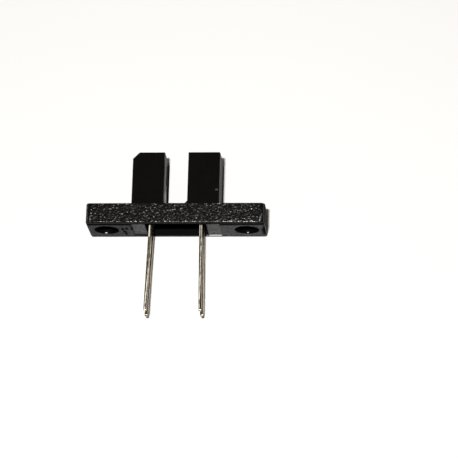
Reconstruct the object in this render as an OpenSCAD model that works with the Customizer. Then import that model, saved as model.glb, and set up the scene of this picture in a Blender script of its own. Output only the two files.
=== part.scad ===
// Slotted optical switch: one black moulding with two screw ears and two hollow towers,
// an infrared emitter capsule in one tower and a phototransistor capsule in the other.
// X runs along the flange, Y from the front to the back, and Z up through the towers.
// The origin lies midway between the two screw holes, on the seating face.

/* [Flange] */
// Distance between the centres of the screw holes
hole_spacing = 19.2; // [18.2:0.1:24]
// Distance from the middle of a screw hole to the end of its ear
ear_end = 2.6; // [2.4:0.1:4]
// Depth of the flange from front to back
flange_w = 6.3; // [6.1:0.1:7.5]
// Thickness of the flange
flange_t = 2.85; // [2.4:0.05:4]
// Radius of the upright corners of the flange
flange_corner_r = 0.8; // [0.2:0.1:1.4]
// Radius of the edges around the seating face
seat_edge_r = 0.3; // [0.1:0.05:0.5]
// Radius of the edges around the top of the flange
top_edge_r = 0.12; // [0.05:0.01:0.3]
// Diameter of the screw holes
hole_d = 3.4; // [2.4:0.1:3.6]

/* [Towers] */
// Height of the tower tops above the seating face
body_h = 10.2; // [9.8:0.1:14]
// Width of the slot between the towers
slot_w = 3.2; // [2.6:0.1:3.6]
// Length of each tower along the flange
tower_l = 4.4; // [3.8:0.1:4.5]
// How far the tower faces stand back from the front and back of the flange
tower_inset = 0.1; // [0.05:0.01:0.2]
// Radius of the edges of the towers' front and back faces
tower_edge_r = 0.15; // [0.05:0.01:0.3]
// Size of the corner cut that marks the top of the emitter tower
marker_chamfer = 0.95; // [0.4:0.05:1.1]
// Radius of the top outer corner of the detector tower
tower_corner_r = 0.25; // [0.1:0.05:0.5]
// Size of the gusset at the foot of the detector tower, inside the slot
gusset = 0.4; // [0.2:0.05:0.8]

/* [Hollow] */
// Thickness of the tower walls beside the slot
slot_wall = 0.5; // [0.4:0.05:0.7]
// Thickness of the tower tops over the pockets
roof_t = 0.6; // [0.4:0.05:1]
// Thickness of the slot floor between the pockets
web_t = 1; // [0.6:0.05:1.4]
// Radius of the lower edges of the slot floor
web_edge_r = 0.45; // [0.1:0.05:0.6]
// Width of the well in the seating face, front to back
well_w = 5; // [4.8:0.05:5.2]
// Depth of the shallow panel that surrounds the well under the towers
panel_d = 0.12; // [0.05:0.01:0.3]
// Width of the light slits in the slot walls, front to back
slit_w = 1.2; // [0.4:0.1:2]
// Height of the light slits
slit_h = 3; // [1:0.1:3.1]

/* [Capsules] */
// Thickness of the moulded body of a capsule, without its lens
capsule_t = 1.5; // [1.3:0.05:1.6]
// Width of a capsule, front to back
capsule_w = 4.5; // [4.2:0.05:4.6]
// Height of a capsule
capsule_h = 5.5; // [5:0.1:6]
// How much each half of a capsule narrows towards its face
capsule_draft = 0.1; // [0.02:0.01:0.2]
// Depth of the lens above the capsule's face
lens_h = 0.5; // [0.3:0.05:0.6]
// Radius of the lens at its foot
lens_foot_r = 1.1; // [0.8:0.05:1.3]
// Distance of the lens axis below the top of its capsule
lens_below_top = 1.75; // [1.6:0.05:2]
// Clearance between a capsule and its pocket
capsule_gap = 0.05; // [0.02:0.01:0.08]

/* [Leads] */
// Thickness and width of the square leads
lead_s = 0.45; // [0.4:0.05:0.55]
// Distance between the two leads of a capsule
lead_pitch = 2.54; // [2.4:0.02:2.7]
// Length of the leads below the seating face
lead_drop = 11.9; // [5:0.1:16]
// Bevel around the tips of the leads
lead_tip = 0.12; // [0.05:0.01:0.18]
// Height above the seating face at which the leads start to lean
lean_z = 2.5; // [1:0.1:3]
// Angle at which the emitter's front lead leans outwards
emitter_front_angle = 1.6; // [0:0.1:4]
// Angle at which the emitter's rear lead leans outwards
emitter_rear_angle = 2.1; // [0:0.1:4]
// Angle at which the detector's front lead leans outwards
detector_front_angle = 0.9; // [0:0.1:4]
// Angle at which the detector's rear lead leans outwards
detector_rear_angle = 0.9; // [0:0.1:4]

/* [Chips] */
// Width of the pad that carries a chip
pad_w = 1.4; // [1.2:0.05:1.5]
// Height of the pad that carries a chip
pad_h = 1.6; // [1.2:0.05:1.8]
// Side of the square emitter chip
emitter_chip_s = 0.35; // [0.25:0.05:0.6]
// Side of the square detector chip
detector_chip_s = 0.6; // [0.4:0.05:0.8]
// Thickness of both chips
chip_t = 0.2; // [0.15:0.01:0.25]
// Diameter of the bond wires
wire_d = 0.05; // [0.03:0.01:0.06]
// Height of a bond wire's loop over its chip
wire_rise = 0.15; // [0.12:0.01:0.18]
// Radius of the two bends in a bond wire
wire_bend_r = 0.08; // [0.06:0.01:0.1]

/* [Hidden] */
$fn = 64;
EMITTER = -1;
DETECTOR = 1;
FRONT = -1;
REAR = 1;
// Overlap that lets a cut run clear of the face it starts from
cut = 0.5;
// Places along the flange, measured from the middle of the slot
flange_l = hole_spacing + 2*ear_end;
tower_in = slot_w/2;
tower_out = tower_in + tower_l;
pocket_in = tower_in + slot_wall;
pocket_out = pocket_in + capsule_gap + lens_h + capsule_t + capsule_gap;
capsule_back = pocket_out - capsule_gap;
capsule_face = capsule_back - capsule_t;
lead_x = capsule_back - capsule_t/2;
lead_face = lead_x - lead_s/2;
chip_face = lead_face - chip_t;
// Heights above the seating face
tower_foot = flange_t/2;
web_z = flange_t - web_t;
pocket_top = body_h - roof_t;
capsule_z = pocket_top - capsule_h;
axis_z = pocket_top - lens_below_top;
// Depths, front to back
tower_w = flange_w - 2*tower_inset;
pocket_w = capsule_w + 2*capsule_gap;
lead_y = lead_pitch/2;
// Radius of the lens, from its foot and its depth
lens_r = (lens_foot_r*lens_foot_r + lens_h*lens_h)/(2*lens_h);

// Outline of a plate with true round corners, centred
module rounded_outline(l, w, r) {
    square([l - 2*r, w], center = true);
    square([l, w - 2*r], center = true);
    for (x = [-1, 1], y = [-1, 1])
        translate([x*(l/2 - r), y*(w/2 - r)])
            circle(r = r);
}

// Upright outline that stands on the origin, with one radius for its lower corners and
// one for its upper corners
module eased_outline(w, h, low_r, top_r) {
    translate([-w/2, low_r])
        square([w, h - low_r - top_r]);
    translate([low_r - w/2, 0])
        square([w - 2*low_r, h - top_r]);
    translate([top_r - w/2, low_r])
        square([w - 2*top_r, h - low_r]);
    for (end = [-1, 1]) {
        translate([end*(w/2 - low_r), low_r])
            circle(r = low_r);
        translate([end*(w/2 - top_r), h - top_r])
            circle(r = top_r);
    }
}

// Stands an X-Z outline up and gives it a depth of w from front to back
module across(w) {
    rotate([90, 0, 0])
        linear_extrude(height = w, center = true)
            children();
}

// Stands a Y-Z outline up and gives it a length of l along the flange
module along(l) {
    rotate([90, 0, 90])
        linear_extrude(height = l, center = true)
            children();
}

// Puts a piece that is drawn on the detector's side on either side
module on_side(side) {
    mirror([side == EMITTER ? 1 : 0, 0, 0])
        children();
}

module flange() {
    intersection() {
        linear_extrude(height = flange_t)
            rounded_outline(flange_l, flange_w, flange_corner_r);
        across(flange_w)
            eased_outline(flange_l, flange_t, seat_edge_r, top_edge_r);
        along(flange_l)
            eased_outline(flange_w, flange_t, seat_edge_r, top_edge_r);
    }
}

// Front of the emitter tower, with its corner cut
module chamfered_face() {
    polygon([[tower_in, tower_foot], [tower_out, tower_foot],
             [tower_out, body_h - marker_chamfer],
             [tower_out - marker_chamfer, body_h], [tower_in, body_h]]);
}

// Front of the detector tower, with its round corner
module rounded_face() {
    round_z = body_h - tower_corner_r;
    translate([tower_in, tower_foot])
        square([tower_l, round_z - tower_foot]);
    translate([tower_in, tower_foot])
        square([tower_l - tower_corner_r, body_h - tower_foot]);
    translate([tower_out - tower_corner_r, round_z])
        circle(r = tower_corner_r);
}

// Each tower is rooted inside the flange, clear of the eased edges of its underside
module tower(side) {
    on_side(side)
        intersection() {
            across(flange_w)
                if (side == EMITTER) chamfered_face();
                else rounded_face();
            translate([tower_in + tower_l/2, 0, 0])
                linear_extrude(height = body_h)
                    rounded_outline(tower_l, tower_w, tower_edge_r);
            translate([0, 0, tower_foot])
                along(2*tower_out)
                    eased_outline(tower_w, body_h - tower_foot, tower_edge_r, tower_edge_r);
        }
}

// Fills the corner between the slot floor and the detector tower
module slot_gusset() {
    foot = [tower_in + tower_edge_r, flange_t - tower_edge_r];
    across(tower_w - 2*tower_edge_r)
        polygon([foot, [foot[0], flange_t + gusset], [tower_in, flange_t + gusset],
                 [tower_in - gusset, flange_t], [tower_in - gusset, foot[1]]]);
}

// Pocket of one tower, with the rounded edge of the slot floor beside it
module pocket_outline() {
    translate([pocket_in, 0])
        square([pocket_out - pocket_in, pocket_top]);
    difference() {
        translate([pocket_in - web_edge_r, web_z - cut])
            square([web_edge_r + cut, web_edge_r + cut]);
        translate([pocket_in - web_edge_r, web_z + web_edge_r])
            circle(r = web_edge_r);
    }
}

module hollow() {
    well_l = 2*pocket_out;
    translate([-well_l/2, -well_w/2, -cut])
        cube([well_l, well_w, web_z + cut]);
    translate([-tower_out, -well_w/2, -cut])
        cube([2*tower_out, well_w, panel_d + cut]);
    for (side = [EMITTER, DETECTOR])
        on_side(side)
            across(pocket_w)
                pocket_outline();
}

module light_slits() {
    translate([-pocket_in - capsule_gap, -slit_w/2, axis_z - slit_h/2])
        cube([2*(pocket_in + capsule_gap), slit_w, slit_h]);
}

module screw_holes() {
    for (x = [-1, 1])
        translate([x*hole_spacing/2, 0, -cut])
            cylinder(d = hole_d, h = flange_t + 2*cut);
}

module housing() {
    color([0.08, 0.08, 0.085])
        difference() {
            union() {
                flange();
                tower(EMITTER);
                tower(DETECTOR);
                slot_gusset();
            }
            hollow();
            light_slits();
            screw_holes();
        }
}

// Body of a capsule: widest where its leads lie, narrower at both faces and both ends
module capsule_body() {
    half_w = capsule_w/2;
    top = pocket_top;
    intersection() {
        translate([0, 0, capsule_z])
            linear_extrude(height = capsule_h)
                polygon([[capsule_face, capsule_draft - half_w], [lead_x, -half_w],
                         [capsule_back, capsule_draft - half_w],
                         [capsule_back, half_w - capsule_draft], [lead_x, half_w],
                         [capsule_face, half_w - capsule_draft]]);
        across(capsule_w)
            polygon([[capsule_face, capsule_z + capsule_draft], [lead_x, capsule_z],
                     [capsule_back, capsule_z + capsule_draft],
                     [capsule_back, top - capsule_draft], [lead_x, top],
                     [capsule_face, top - capsule_draft]]);
    }
}

module lens() {
    intersection() {
        translate([capsule_face - lens_h + lens_r, 0, axis_z])
            sphere(r = lens_r);
        translate([capsule_face - lens_h, -lens_foot_r, axis_z - lens_foot_r])
            cube([lens_h + lead_s/2, 2*lens_foot_r, 2*lens_foot_r]);
    }
}

// The square lead from its capsule down to its tip, leaning outwards under lean_z
module lead_shank(y, lean) {
    lower = (lean_z + lead_drop)/cos(lean);
    translate([lead_x - lead_s/2, y - lead_s/2, lean_z])
        cube([lead_s, lead_s, axis_z - pad_h/2 - lean_z]);
    translate([lead_x, y, lean_z])
        rotate([0, -lean, 0])
            difference() {
                translate([-lead_s/2, -lead_s/2, -lower])
                    cube([lead_s, lead_s, lower + lead_s*sin(lean)]);
                for (turn = [0, 90, 180, 270])
                    rotate([0, 0, turn])
                        translate([lead_s/2, 0, -lower])
                            rotate([0, 45, 0])
                                cube([lead_tip*sqrt(2), 2*lead_s, lead_tip*sqrt(2)],
                                     center = true);
            }
}

// Lead whose head is the pad that carries the chip
module pad_lead(y, lean) {
    bar_w = abs(y) + lead_s/2;
    lead_shank(y, lean);
    translate([lead_x - lead_s/2, -pad_w/2, axis_z - pad_h/2])
        cube([lead_s, pad_w, pad_h]);
    translate([lead_x - lead_s/2, y < 0 ? -bar_w : 0, axis_z - pad_h/2 - lead_s/2])
        cube([lead_s, bar_w, lead_s]);
}

// Lead whose head takes the end of the bond wire
module post_lead(y, lean) {
    lead_shank(y, lean);
    translate([lead_x - lead_s/2, y - lead_s/2, axis_z - pad_h/2 - lead_s/2])
        cube([lead_s, lead_s, pad_h/2 + lead_s]);
}

module chip(side_l) {
    translate([chip_face, -side_l/2, axis_z - side_l/2])
        cube([chip_t, side_l, side_l]);
}

// Bond wire: up from the chip, over, and down to the post at y
module bond_wire(y) {
    loop_x = chip_face - wire_rise;
    way = y < 0 ? -1 : 1;
    translate([loop_x + wire_bend_r, 0, axis_z])
        rotate([0, 90, 0])
            cylinder(d = wire_d, h = wire_rise - wire_bend_r);
    translate([loop_x + wire_bend_r, y, axis_z])
        rotate([0, 90, 0])
            cylinder(d = wire_d, h = lead_face - loop_x - wire_bend_r);
    translate([loop_x, way*wire_bend_r, axis_z])
        rotate([way*-90, 0, 0])
            cylinder(d = wire_d, h = abs(y) - 2*wire_bend_r);
    translate([loop_x + wire_bend_r, way*wire_bend_r, axis_z])
        wire_bend(way > 0 ? 180 : 90);
    translate([loop_x + wire_bend_r, y - way*wire_bend_r, axis_z])
        wire_bend(way > 0 ? 90 : 180);
}

// Quarter bend of a bond wire, in the plane of its loop
module wire_bend(start) {
    rotate([0, 0, start])
        rotate_extrude(angle = 90)
            translate([wire_bend_r, 0])
                circle(d = wire_d);
}

module capsule(side) {
    on_side(side)
        difference() {
            union() {
                capsule_body();
                lens();
            }
            pad_lead(REAR*lead_y, 0);
            post_lead(FRONT*lead_y, 0);
            chip(side == EMITTER ? emitter_chip_s : detector_chip_s);
            bond_wire(FRONT*lead_y);
        }
}

module emitter_capsule() {
    color([0.36, 0.42, 0.5])
        capsule(EMITTER);
}

module detector_capsule() {
    color([0.14, 0.12, 0.12])
        capsule(DETECTOR);
}

module emitter_anode_lead() {
    color([0.72, 0.69, 0.62])
        on_side(EMITTER)
            post_lead(FRONT*lead_y, emitter_front_angle);
}

module emitter_cathode_lead() {
    color([0.72, 0.69, 0.62])
        on_side(EMITTER)
            pad_lead(REAR*lead_y, emitter_rear_angle);
}

module detector_emitter_lead() {
    color([0.72, 0.69, 0.62])
        on_side(DETECTOR)
            post_lead(FRONT*lead_y, detector_front_angle);
}

module detector_collector_lead() {
    color([0.72, 0.69, 0.62])
        on_side(DETECTOR)
            pad_lead(REAR*lead_y, detector_rear_angle);
}

module emitter_chip() {
    color([0.3, 0.3, 0.34])
        on_side(EMITTER)
            chip(emitter_chip_s);
}

module detector_chip() {
    color([0.2, 0.24, 0.34])
        on_side(DETECTOR)
            chip(detector_chip_s);
}

module emitter_bond_wire() {
    color([0.86, 0.68, 0.3])
        on_side(EMITTER)
            bond_wire(FRONT*lead_y);
}

module detector_bond_wire() {
    color([0.86, 0.68, 0.3])
        on_side(DETECTOR)
            bond_wire(FRONT*lead_y);
}

housing();
emitter_capsule();
detector_capsule();
emitter_anode_lead();
emitter_cathode_lead();
detector_collector_lead();
detector_emitter_lead();
emitter_chip();
detector_chip();
emitter_bond_wire();
detector_bond_wire();
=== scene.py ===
import math

import bmesh
import bpy
from mathutils import Matrix, Vector


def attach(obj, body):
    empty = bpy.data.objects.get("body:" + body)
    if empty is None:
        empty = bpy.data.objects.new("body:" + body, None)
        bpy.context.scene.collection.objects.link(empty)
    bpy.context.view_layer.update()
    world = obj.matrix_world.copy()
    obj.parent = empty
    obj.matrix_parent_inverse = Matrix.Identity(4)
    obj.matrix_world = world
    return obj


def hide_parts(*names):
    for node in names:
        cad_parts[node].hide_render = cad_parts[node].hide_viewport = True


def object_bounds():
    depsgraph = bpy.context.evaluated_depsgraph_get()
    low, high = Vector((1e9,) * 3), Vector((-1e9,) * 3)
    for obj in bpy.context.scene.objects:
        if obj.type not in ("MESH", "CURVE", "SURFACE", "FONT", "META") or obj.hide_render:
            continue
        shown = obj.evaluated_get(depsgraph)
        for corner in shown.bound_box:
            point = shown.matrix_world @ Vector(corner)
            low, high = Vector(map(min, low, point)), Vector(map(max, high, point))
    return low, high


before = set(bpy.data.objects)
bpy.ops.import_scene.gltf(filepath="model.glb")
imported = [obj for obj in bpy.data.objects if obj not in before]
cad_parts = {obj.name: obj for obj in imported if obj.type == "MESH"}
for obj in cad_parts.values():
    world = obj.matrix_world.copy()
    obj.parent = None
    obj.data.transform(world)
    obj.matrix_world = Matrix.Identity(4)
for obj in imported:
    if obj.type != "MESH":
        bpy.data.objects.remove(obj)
cad_lo, cad_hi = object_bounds()

MM = 0.001

# Sizes of the moulding that the looks follow, in millimetres
FLANGE_TOP = 2.85
TOWER_OUT = 6.0
WELL_END = 4.2
WELL_HALF = 2.5
HOLLOW_TOP = 9.6
SLOT_HALF = 1.6
HOLE_X = 9.6
HOLE_R = 1.7
SEAT_EDGE_R = 0.3
LEAD_X = 3.4
LEAD_HALF = 0.225
LEAN_Z = 2.5

# Camera, as found from the photograph: direction, roll, distance and the picture's middle
CAMERA_AZIMUTH = 4.93
CAMERA_ELEVATION = -18.1
CAMERA_ROLL = 1.44
CAMERA_DISTANCE = 306.8
PICTURE_MIDDLE = (7.128, 0.132)
SENSOR_WIDTH = 36.0
PICTURE_PIXELS = 458
FOCAL_PIXELS = 2250

# Light: a flash beside the camera, placed where the shadows in the photograph point
KEY_PLACE = (1.7, -300.0, -57.0)
KEY_SIZE = (16.0, 10.0)
KEY_POWER = 0.93
ROOM_FRONT = (0.10, 0.078, 0.048)
ROOM_BACK = (0.9, 0.92, 0.95)

TABLE_SIZE = 150.0
TABLE_GAP = 0.01

# Edges and faces of the meshes, in millimetres and degrees
FLAT_WIDTH = 0.2  # faces at least this wide are shaded flat
SHARP_ANGLE = 40  # edges that bend more than this are eased
HOUSING_EASE = 0.04
LEAD_EASE = 0.10
SLACK = 0.05  # by which a place may miss a size and still count as on it
HOLLOW_UNDER_SLOT = 2.7  # above this, the middle belongs to the slot
PANEL_TOP = 0.2  # faces of the panel's step lie below this


class Graph:
    """Adds nodes to one node tree and links them in the same line."""

    def __init__(self, tree):
        self.tree = tree
        self.tree.nodes.clear()

    def add(self, kind, inputs=None, **settings):
        node = self.tree.nodes.new(kind)
        for name, value in settings.items():
            setattr(node, name, value)
        for key, value in (inputs or {}).items():
            self.put(node.inputs[key], value)
        return node

    def put(self, socket, value):
        if isinstance(value, bpy.types.NodeSocket):
            self.tree.links.new(value, socket)
        else:
            socket.default_value = value

    def math(self, operation, first, second=0.0):
        return self.add("ShaderNodeMath", {0: first, 1: second}, operation=operation).outputs[0]

    def ramp(self, value, low, high, to_low=0.0, to_high=1.0, smooth=True):
        node = self.add("ShaderNodeMapRange", {"Value": value, "From Min": low, "From Max": high,
                                               "To Min": to_low, "To Max": to_high})
        node.interpolation_type = "SMOOTHSTEP" if smooth else "LINEAR"
        return node.outputs["Result"]

    def noise(self, place, scale, detail=2.0, roughness=0.5, distortion=0.0):
        node = self.add("ShaderNodeTexNoise", {"Vector": place, "Scale": scale, "Detail": detail,
                                               "Roughness": roughness, "Distortion": distortion})
        return node.outputs["Fac"]

    def cells(self, place, scale):
        return self.add("ShaderNodeTexVoronoi", {"Vector": place, "Scale": scale}).outputs["Distance"]

    def mix(self, share, first, second):
        node = self.add("ShaderNodeMix", data_type="RGBA")
        self.put(node.inputs["Factor"], share)
        self.put(node.inputs[6], first)
        self.put(node.inputs[7], second)
        return node.outputs[2]

    def blend(self, share, first, second):
        node = self.add("ShaderNodeMix", data_type="FLOAT")
        self.put(node.inputs["Factor"], share)
        self.put(node.inputs[2], first)
        self.put(node.inputs[3], second)
        return node.outputs[0]

    def place(self, stretch=(1.0, 1.0, 1.0)):
        """Place on the object in millimetres, stretched along X, Y and Z."""
        coord = self.add("ShaderNodeTexCoord")
        return self.vector("MULTIPLY", coord.outputs["Object"], [s / MM for s in stretch])

    def vector(self, operation, first, second):
        return self.add("ShaderNodeVectorMath", {0: first, 1: second}, operation=operation).outputs[0]

    def spots(self, place, spots):
        """Soft spots in 0 to 1, each a centre and a reach along X, Y and Z in millimetres."""
        total = 0.0
        ragged = self.math("MULTIPLY", self.noise(place, 5.0, 2.0, 0.6), 0.9)
        for centre, reach in spots:
            away = self.vector("DIVIDE", self.vector("SUBTRACT", place, centre), reach)
            far = self.add("ShaderNodeVectorMath", {0: away}, operation="LENGTH").outputs["Value"]
            spot = self.ramp(self.math("ADD", far, ragged), 0.9, 1.5, 1.0, 0.0)
            total = self.math("MAXIMUM", total, spot)
        return total

    def specks(self, place, scale, radius, share):
        """Sparse round specks in 0 to 1: cells a millimetre, radius in millimetres, share that has one."""
        cell = self.add("ShaderNodeTexVoronoi", {"Vector": place, "Scale": scale})
        pick = self.add("ShaderNodeSeparateColor", {0: cell.outputs["Color"]})
        dot = self.ramp(cell.outputs["Distance"], 0.5 * radius * scale, radius * scale, 1.0, 0.0)
        return self.math("MULTIPLY", dot, self.math("GREATER_THAN", pick.outputs[0], 1.0 - share))


def new_material(name):
    material = bpy.data.materials.new(name)
    material.use_nodes = True
    return material, Graph(material.node_tree)


def finish_material(g, shader):
    g.add("ShaderNodeOutputMaterial", {"Surface": shader.outputs[0]})


def bump(g, height, distance):
    """Normal from a height in 0 to 1, where distance is its depth in millimetres."""
    node = g.add("ShaderNodeBump", {"Height": height, "Strength": 1.0, "Distance": distance * MM})
    return node.outputs[0]


# Materials

FILLER = (0.030, 0.030, 0.033)
SCUFF = (0.075, 0.075, 0.070)
# Near-white colour of painted highlights, glints painted into the plastic's colour: low on the left
# tower's slot wall, just inside the screw holes and along the right panel's back step.
PAINTED_HIGHLIGHT = (0.80, 0.80, 0.80)
SLOT_FOOT_HIGHLIGHT = [((-1.6, -0.9, 4.0), (0.3, 1.4, 1.4))]
WALL_BACK = [((-1.6, 2.4, 6.5), (0.6, 2.8, 9.0)), ((6.0, 2.8, 6.5), (0.6, 2.6, 9.0))]
FRONT_RUB = [((5.6, -3.05, 4.75), (0.26, 0.2, 0.14))]
# Painted glints inside the screw holes, and a painted glint line along the right panel's back step.
HOLE_GLINTS = [((-9.89, 1.70, 0.155), (0.22, 0.2, 0.09)), ((9.62, 1.70, 0.18), (0.13, 0.2, 0.07))]
PANEL_STEP_GLINT = [((5.1, 2.50, 0.03), (1.3, 0.08, 0.25))]
PANEL_BACK = [((5.1, 2.32, 0.12), (1.5, 0.20, 0.3))]
EAR_STAINS = [((-7.35, -0.4, 0.0), (0.24, 0.8, 0.3)), ((-7.2, 0.7, 0.0), (0.28, 0.7, 0.3)),
              ((-7.1, 1.6, 0.0), (0.24, 0.6, 0.3)), ((-6.8, -0.6, 0.0), (0.24, 0.7, 0.3)),
              ((-6.05, -0.8, 0.0), (0.24, 1.1, 0.3)), ((0.0, -2.75, 0.0), (60.0, 0.9, 0.5)),
              ((12.2, 0.4, 0.0), (0.7, 2.6, 0.3))]


SPECK_CELLS = 3.2  # a millimetre
SPECK_R = 0.13
STAIN_ROUGHNESS = 0.95


def moulding(name, dark, light, gloss, rough, grain, depth, speck=0.0, scuffs_and_highlights=(), scuff_and_highlight_colour=SCUFF,
             stains=(), side=0.0, tint=(1.0, 1.0, 1.0)):
    """Black moulded plastic. The mould's spark-eroded grain has so many cells a millimetre and a depth.
    Speck is the share of cells with a grain of filler. Marks and stains are each a list of spots. Marks
    take one light
    colour: grey ones are worn marks, near-white ones are painted highlights. Stains are dull. Side is how
    much rougher the left end is, and tint colours the gloss."""
    material, g = new_material(name)
    place = g.place()
    broad = g.noise(place, 0.9, 3.0, 0.5)
    fine = g.noise(place, grain, 1.5, 0.5)
    pits = g.cells(place, grain * 0.8)
    height = g.math("ADD", g.ramp(fine, 0.3, 0.7, smooth=False), g.ramp(pits, 0.0, 0.6, 0.0, 0.8))
    roughness = g.ramp(g.noise(place, grain * 0.6, 2.0, 0.5), 0.3, 0.7, rough[0], rough[1])
    colour = g.mix(broad, dark + (1.0,), light + (1.0,))
    if side:
        axes = g.add("ShaderNodeSeparateXYZ", {0: place})
        roughness = g.math("ADD", roughness, g.ramp(axes.outputs[0], -8.0, 8.0, side, -side))
    if speck:
        dots = g.specks(place, SPECK_CELLS, SPECK_R, speck)
        colour = g.mix(dots, colour, FILLER + (1.0,))
        height = g.math("ADD", height, dots)
    if stains:
        spots = g.spots(place, stains)
        roughness = g.blend(spots, roughness, STAIN_ROUGHNESS)
        gloss = g.blend(spots, gloss, 0.0)
        height = g.math("SUBTRACT", height, spots)
    # Light-coloured spots in the colour: grey worn marks, and painted highlights where the colour is
    # near-white.
    if scuffs_and_highlights:
        colour = g.mix(g.spots(place, scuffs_and_highlights), colour, scuff_and_highlight_colour + (1.0,))
    shader = g.add("ShaderNodeBsdfPrincipled", {
        "Base Color": colour, "Roughness": roughness, "Specular IOR Level": gloss,
        "Specular Tint": tint + (1.0,), "Normal": bump(g, height, depth)})
    finish_material(g, shader)
    return material


def mouldings():
    """The finishes of the one black moulding, in the order of its material slots."""
    return [
        moulding("moulded_grain", (0.0018, 0.0018, 0.0019), (0.0036, 0.0034, 0.0033), 0.33,
                 (0.18, 0.32), 4.3, 0.026, speck=0.10),
        moulding("moulded_polish", (0.0028, 0.0027, 0.0027), (0.0046, 0.0044, 0.0044), 0.10,
                 (0.20, 0.26), 6.0, 0.002, scuffs_and_highlights=FRONT_RUB),
        # Outer tower walls: the warm tint of their gloss, and the slight warmth of their base colour, is a
        # painted reflection of the table's warm shadow beside the towers.
        moulding("moulded_wall", (0.0036, 0.0034, 0.0028), (0.0058, 0.0055, 0.0046), 0.055,
                 (0.46, 0.60), 5.0, 0.006, stains=WALL_BACK, tint=(1.0, 0.93, 0.66)),
        # Slot walls: the near-white spot low on the left one is a painted highlight.
        moulding("moulded_slot", (0.0036, 0.0034, 0.0028), (0.0058, 0.0055, 0.0046), 0.12,
                 (0.40, 0.54), 5.0, 0.006, scuffs_and_highlights=SLOT_FOOT_HIGHLIGHT, scuff_and_highlight_colour=PAINTED_HIGHLIGHT, stains=WALL_BACK),
        # Underside: the bluish tint of its base colour and gloss is a painted bluish reflection.
        moulding("moulded_seat", (0.0030, 0.0036, 0.0042), (0.0055, 0.0064, 0.0074), 0.11,
                 (0.42, 0.58), 3.0, 0.030, stains=EAR_STAINS, side=0.05, tint=(0.88, 0.96, 1.0)),
        # Panel: the same bluish tint, a painted bluish reflection.
        moulding("moulded_panel", (0.0030, 0.0036, 0.0042), (0.0055, 0.0064, 0.0074), 0.14,
                 (0.28, 0.46), 4.0, 0.024, stains=PANEL_BACK, tint=(0.88, 0.96, 1.0)),
        # Hollows: their base colour is darker than the outside's, painted shade. The near-white spots are
        # painted glints inside the screw holes and on the right panel's back step.
        moulding("moulded_inner", (0.0014, 0.0015, 0.0018), (0.0024, 0.0026, 0.0032), 0.04,
                 (0.40, 0.50), 5.0, 0.004, scuffs_and_highlights=HOLE_GLINTS + PANEL_STEP_GLINT, scuff_and_highlight_colour=PAINTED_HIGHLIGHT),
        moulding("moulded_edge", (0.0030, 0.0030, 0.0031), (0.0052, 0.0050, 0.0049), 0.42,
                 (0.14, 0.30), 3.6, 0.020),
        moulding("moulded_end", (0.0022, 0.0022, 0.0022), (0.0036, 0.0036, 0.0036), 0.02,
                 (0.60, 0.75), 4.6, 0.020),
        # Burnished tower edges; the near-white spot low on the left slot wall reaches them as the same
        # painted highlight.
        moulding("moulded_burnish", (0.0030, 0.0030, 0.0031), (0.0052, 0.0050, 0.0049), 1.0,
                 (0.14, 0.22), 3.0, 0.002, scuffs_and_highlights=SLOT_FOOT_HIGHLIGHT, scuff_and_highlight_colour=PAINTED_HIGHLIGHT),
    ]


GRAIN, POLISH, WALL, SLOT, SEAT, PANEL, INNER, EDGE, END, BURNISH = range(10)


def in_hollow(place):
    """Whether a place lies in the well, in a tower's hollow or in a light slit."""
    x, y, z = abs(place.x) / MM, abs(place.y) / MM, place.z / MM
    under_slot = x < SLOT_HALF + SLACK and z > HOLLOW_UNDER_SLOT
    inside = x < WELL_END + SLACK and y < WELL_HALF + SLACK and z < HOLLOW_TOP + SLACK
    return inside and not under_slot


def finish_of(centre, normal):
    """Which finish of the moulding a face has, from its place and direction."""
    x, y, z = abs(centre.x) / MM, centre.y / MM, centre.z / MM
    deep = abs(y)
    from_hole = math.hypot(x - HOLE_X, y)
    if abs(z) < 0.01 and normal.z < -0.95:
        return SEAT
    if from_hole < HOLE_R + 0.02 and abs(normal.z) < 0.5:
        return INNER
    beside_well = x > WELL_END or deep > WELL_HALF
    on_panel = x < TOWER_OUT + SLACK and deep < WELL_HALF + SLACK and beside_well
    if 0.01 < z < PANEL_TOP and on_panel:
        return PANEL
    if in_hollow(centre):
        return INNER
    if z > FLANGE_TOP + 0.02:
        if 0.5 < abs(normal.x) < 0.99 and abs(normal.y) > 0.1:
            return BURNISH
        if abs(normal.x) > 0.8:
            return SLOT if x < SLOT_HALF + 0.1 else WALL
        return POLISH
    if y < -2.8 and 0.002 < z < SEAT_EDGE_R and normal.z < -0.01:
        return EDGE if z < 0.7 * SEAT_EDGE_R else END
    if normal.z < -0.6:
        return SEAT
    return END if abs(normal.x) > 0.85 else GRAIN


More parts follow.
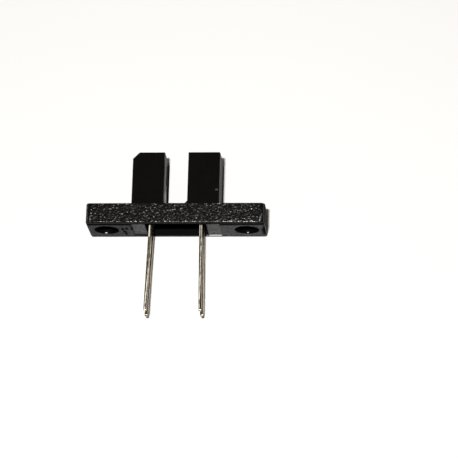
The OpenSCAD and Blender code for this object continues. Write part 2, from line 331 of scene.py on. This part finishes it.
def tinned_metal(name, foot, lean, glint_across, glint_lean, root_glint_width):
    """Tin on one lead, slightly warm, with streaks along its length. The lead's middle lies at foot where
    it starts to lean. A near-white band slanting across the lead and a patch at its root are painted
    glints, and there the tin is rougher."""
    material, g = new_material(name)
    place = g.place()
    axes = g.add("ShaderNodeSeparateXYZ", {0: place})
    down = g.math("SUBTRACT", axes.outputs[2], LEAN_Z)
    middle = g.math("ADD", g.math("MULTIPLY", down, lean), foot)
    across = g.math("DIVIDE", g.math("SUBTRACT", axes.outputs[0], middle), LEAD_HALF)
    # Painted glint: a near-white band slanting across the lead, then a patch at its root.
    line = g.math("ADD", g.math("MULTIPLY", down, glint_lean), glint_across)
    off_line = g.math("ABSOLUTE", g.math("SUBTRACT", across, line))
    streak = g.noise(g.place((7.0, 7.0, 0.6)), 1.0, 3.0, 0.6)
    patch = g.noise(g.place((3.0, 3.0, 1.6)), 1.0, 3.0, 0.6)
    painted_glint = g.ramp(g.math("ADD", off_line, g.math("MULTIPLY", patch, 0.6)), 0.30, 0.62, 1.0, 0.0)
    root = g.math("MULTIPLY", g.ramp(axes.outputs[2], -1.6, -1.3),
                  g.ramp(across, root_glint_width - 0.3, root_glint_width, 1.0, 0.0))
    painted_glint = g.math("MAXIMUM", painted_glint, root)
    warm = g.mix(g.ramp(streak, 0.35, 0.65), (0.30, 0.26, 0.18, 1.0), (0.62, 0.56, 0.44, 1.0))
    dull = g.ramp(patch, 0.50, 0.62)
    colour = g.mix(dull, warm, (0.16, 0.135, 0.09, 1.0))
    # Near-white colour of the painted glints.
    colour = g.mix(painted_glint, colour, (0.93, 0.89, 0.80, 1.0))
    rough = g.ramp(streak, 0.3, 0.7, 0.15, 0.27)
    rough = g.blend(painted_glint, rough, 0.42)
    height = g.math("ADD", streak, g.math("MULTIPLY", patch, 1.2))
    shader = g.add("ShaderNodeBsdfPrincipled", {"Base Color": colour, "Metallic": 1.0, "Roughness": rough,
                                                "Normal": bump(g, height, 0.02)})
    finish_material(g, shader)
    return material


def resin(name, clear, deep, transmission):
    """Moulded epoxy of a capsule, with faint flow marks."""
    material, g = new_material(name)
    place = g.place()
    flow = g.noise(place, 1.2, 3.0, 0.5, 0.6)
    fine = g.noise(place, 14.0, 2.0, 0.5)
    shader = g.add("ShaderNodeBsdfPrincipled", {
        "Base Color": g.mix(flow, clear, deep), "Roughness": g.ramp(fine, 0.3, 0.7, 0.12, 0.22),
        "IOR": 1.54, "Transmission Weight": transmission, "Normal": bump(g, fine, 0.002)})
    finish_material(g, shader)
    return material


def chip_surface():
    """Polished semiconductor with a faint grid of metal fingers."""
    material, g = new_material("chip_surface")
    place = g.place()
    axes = g.add("ShaderNodeSeparateXYZ", {0: place})
    finger = g.math("PINGPONG", axes.outputs[2], 0.05)
    line = g.ramp(finger, 0.006, 0.010, 1.0, 0.0)
    shade = g.mix(line, (0.03, 0.035, 0.06, 1.0), (0.35, 0.33, 0.28, 1.0))
    grain = g.noise(place, 40.0, 2.0, 0.5)
    shader = g.add("ShaderNodeBsdfPrincipled", {"Base Color": shade, "Metallic": 0.4,
                                                "Roughness": g.ramp(grain, 0.3, 0.7, 0.15, 0.25)})
    finish_material(g, shader)
    return material


def gold_wire():
    material, g = new_material("gold_wire")
    draw = g.noise(g.place((30.0, 4.0, 30.0)), 1.0, 2.0, 0.5)
    shade = g.mix(draw, (0.75, 0.52, 0.18, 1.0), (0.88, 0.66, 0.28, 1.0))
    shader = g.add("ShaderNodeBsdfPrincipled", {"Base Color": shade, "Metallic": 1.0,
                                                "Roughness": g.ramp(draw, 0.3, 0.7, 0.18, 0.3)})
    finish_material(g, shader)
    return material


def set_material(piece, material):
    piece.data.materials.clear()
    piece.data.materials.append(material)


# Pieces

def solid_copy(node):
    """Mesh of a CAD node with its triangles joined into whole faces."""
    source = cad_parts[node]
    bm = bmesh.new()
    bm.from_mesh(source.data)
    bmesh.ops.remove_doubles(bm, verts=bm.verts, dist=0.0005 * MM)
    bmesh.ops.dissolve_limit(bm, angle_limit=math.radians(0.5), verts=bm.verts, edges=bm.edges,
                             delimit={"NORMAL"})
    return bm


def sharp_edges(bm, angle):
    return [e for e in bm.edges
            if len(e.link_faces) == 2 and e.calc_face_angle(0.0) > math.radians(angle)]


def outer_edges(bm):
    """Sharp outward edges of the flange's top and the towers."""
    low = (FLANGE_TOP - SLACK) * MM
    return [e for e in sharp_edges(bm, SHARP_ANGLE)
            if e.is_convex and all(v.co.z > low for v in e.verts)
            and not in_hollow((e.verts[0].co + e.verts[1].co) / 2)]


def ease(bm, edges, width, segments, clamp=True):
    """Rounds these edges. The width is in millimetres, and clamping would narrow it on a finely
    rounded corner."""
    bmesh.ops.bevel(bm, geom=edges, offset=width * MM, offset_type="OFFSET",
                    segments=segments, profile=0.5, affect="EDGES", clamp_overlap=clamp)


def flat_width(mesh, face):
    """Rough width of a face: its area over its longest edge."""
    corners = [mesh.vertices[i].co for i in face.vertices]
    return face.area / max((a - b).length for a, b in zip(corners, corners[1:] + corners[:1]))


def shade(mesh):
    """Corner normals that keep wide faces flat and round the narrow ones between them."""
    faces = mesh.polygons
    wide = [flat_width(mesh, face) > FLAT_WIDTH * MM for face in faces]
    around = [[] for _ in mesh.vertices]
    for face in faces:
        face.use_smooth = True
        for vertex in face.vertices:
            around[vertex].append(face)
    normals = []
    for face in faces:
        for vertex in face.vertices:
            near = [f for f in around[vertex] if f.normal.dot(face.normal) > 0.6]
            flat = [f for f in near if wide[f.index]]
            if wide[face.index]:
                near = [face]
            elif flat:
                near = flat
            normals.append(sum((f.normal * f.area for f in near), Vector()).normalized())
    mesh.normals_split_custom_set(normals)


def make_piece(bm, name, materials, node):
    bmesh.ops.recalc_face_normals(bm, faces=bm.faces)
    mesh = bpy.data.meshes.new(name)
    bm.to_mesh(mesh)
    bm.free()
    shade(mesh)
    piece = bpy.data.objects.new(name, mesh)
    bpy.context.scene.collection.objects.link(piece)
    for material in materials:
        mesh.materials.append(material)
    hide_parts(node)
    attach(piece, "root")
    return piece


def housing_shell():
    bm = solid_copy("housing")
    ease(bm, outer_edges(bm), HOUSING_EASE, 2, clamp=False)
    bm.normal_update()
    for face in bm.faces:
        face.material_index = finish_of(face.calc_center_median(), face.normal)
    return make_piece(bm, "housing_shell", mouldings(), "housing")


def lead_piece(node, glint_across, glint_lean, root_glint_width):
    bm = solid_copy(node)
    foot = min(v.co.z for v in bm.verts)
    tip = [v.co.x / MM for v in bm.verts if v.co.z < foot + 0.02 * MM]
    top = math.copysign(LEAD_X, tip[0])
    lean = (sum(tip) / len(tip) - top) / (foot / MM - LEAN_Z)
    ease(bm, sharp_edges(bm, SHARP_ANGLE), LEAD_EASE, 4)
    tin = tinned_metal(node + "_tin", top, lean, glint_across, glint_lean, root_glint_width)
    return make_piece(bm, node + "_tinned", [tin], node)


# Stage

def table_top():
    """White table behind the part, which lies on its back. It is seen from its lit side only."""
    half = TABLE_SIZE / 2 * MM
    y = cad_hi.y + TABLE_GAP * MM
    mesh = bpy.data.meshes.new("table_top")
    mesh.from_pydata([(-half, y, -half), (half, y, -half), (half, y, half), (-half, y, half)], [],
                     [(0, 1, 2, 3)])
    table = bpy.data.objects.new("table_top", mesh)
    bpy.context.scene.collection.objects.link(table)
    material, g = new_material("white_table")
    path = g.add("ShaderNodeLightPath")
    side = g.add("ShaderNodeNewGeometry")
    near = g.math("LESS_THAN", path.outputs["Ray Length"], 3 * TABLE_GAP * MM)
    unseen = g.math("MAXIMUM", side.outputs["Backfacing"], path.outputs["Is Shadow Ray"])
    unseen = g.math("MAXIMUM", unseen, near)
    paper = g.noise(g.place(), 0.05, 3.0, 0.5)
    tone = g.mix(paper, (0.99, 0.99, 0.99, 1.0), (1.0, 1.0, 1.0, 1.0))
    white = g.add("ShaderNodeBsdfDiffuse", {"Color": tone})
    clear = g.add("ShaderNodeBsdfTransparent")
    shader = g.add("ShaderNodeMixShader", {0: unseen, 1: white.outputs[0], 2: clear.outputs[0]})
    finish_material(g, shader)
    table.data.materials.append(material)


def room():
    """Pale room: white where the camera looks past the table, dim in front of the part."""
    world = bpy.data.worlds.new("room")
    bpy.context.scene.world = world
    world.use_nodes = True
    g = Graph(world.node_tree)
    path = g.add("ShaderNodeLightPath")
    coord = g.add("ShaderNodeTexCoord")
    axes = g.add("ShaderNodeSeparateXYZ", {0: coord.outputs["Generated"]})
    behind = g.ramp(axes.outputs[1], 0.0, 0.4)
    front = ROOM_FRONT + (1.0,)
    back = ROOM_BACK + (1.0,)
    light = g.mix(behind, front, back)
    seen = g.mix(path.outputs["Is Camera Ray"], light, (1.0, 1.0, 1.0, 1.0))
    background = g.add("ShaderNodeBackground", {"Color": seen, "Strength": 1.0})
    g.add("ShaderNodeOutputWorld", {"Surface": background.outputs[0]})


def direction(azimuth, elevation):
    a, e = math.radians(azimuth), math.radians(elevation)
    return Vector((math.sin(a) * math.cos(e), -math.cos(a) * math.cos(e), math.sin(e)))


def key_light():
    data = bpy.data.lights.new("key", "AREA")
    data.shape = "RECTANGLE"
    data.size, data.size_y = KEY_SIZE[0] * MM, KEY_SIZE[1] * MM
    data.energy = KEY_POWER
    lamp = bpy.data.objects.new("key", data)
    lamp.location = Vector(KEY_PLACE) * MM
    lamp.rotation_mode = "QUATERNION"
    lamp.rotation_quaternion = Vector(KEY_PLACE).to_track_quat("Z", "Y")
    lamp.visible_camera = False
    bpy.context.scene.collection.objects.link(lamp)


def camera():
    data = bpy.data.cameras.new("camera")
    data.sensor_width = SENSOR_WIDTH
    data.lens = FOCAL_PIXELS / PICTURE_PIXELS * SENSOR_WIDTH
    data.clip_start = 10 * MM
    data.clip_end = 5000 * MM
    back = direction(CAMERA_AZIMUTH, CAMERA_ELEVATION)
    a, roll = math.radians(CAMERA_AZIMUTH), math.radians(CAMERA_ROLL)
    level = Vector((math.cos(a), math.sin(a), 0.0))
    upright = back.cross(level)
    right = math.cos(roll) * level + math.sin(roll) * upright
    up = math.cos(roll) * upright - math.sin(roll) * level
    middle = PICTURE_MIDDLE[0] * right + PICTURE_MIDDLE[1] * up
    turn = Matrix((right, up, back)).transposed().to_4x4()
    eye = bpy.data.objects.new("camera", data)
    eye.matrix_world = Matrix.Translation((middle + back * CAMERA_DISTANCE) * MM) @ turn
    bpy.context.scene.collection.objects.link(eye)
    bpy.context.scene.camera = eye


def build():
    camera()
    room()
    key_light()
    table_top()
    housing_shell()
    # Each lead's numbers place its painted glints: where the band crosses, how it slants, and how wide the
    # root's patch is.
    lead_piece("emitter_anode_lead", 1.9, 0.158, 0.2)
    lead_piece("emitter_cathode_lead", -0.8, 0.0, -2.0)
    lead_piece("detector_emitter_lead", 0.8, 0.095, -0.2)
    lead_piece("detector_collector_lead", 0.9, 0.0, -2.0)
    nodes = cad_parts
    set_material(nodes["emitter_capsule"], resin("emitter_resin", (0.42, 0.52, 0.66, 1.0),
                                                 (0.30, 0.42, 0.60, 1.0), 0.7))
    set_material(nodes["detector_capsule"], resin("detector_resin", (0.030, 0.022, 0.028, 1.0),
                                                  (0.016, 0.012, 0.018, 1.0), 0.1))
    chip, gold = chip_surface(), gold_wire()
    for side in ("emitter", "detector"):
        set_material(nodes[side + "_chip"], chip)
        set_material(nodes[side + "_bond_wire"], gold)


build()
bpy.context.scene.view_settings.view_transform = "Standard"
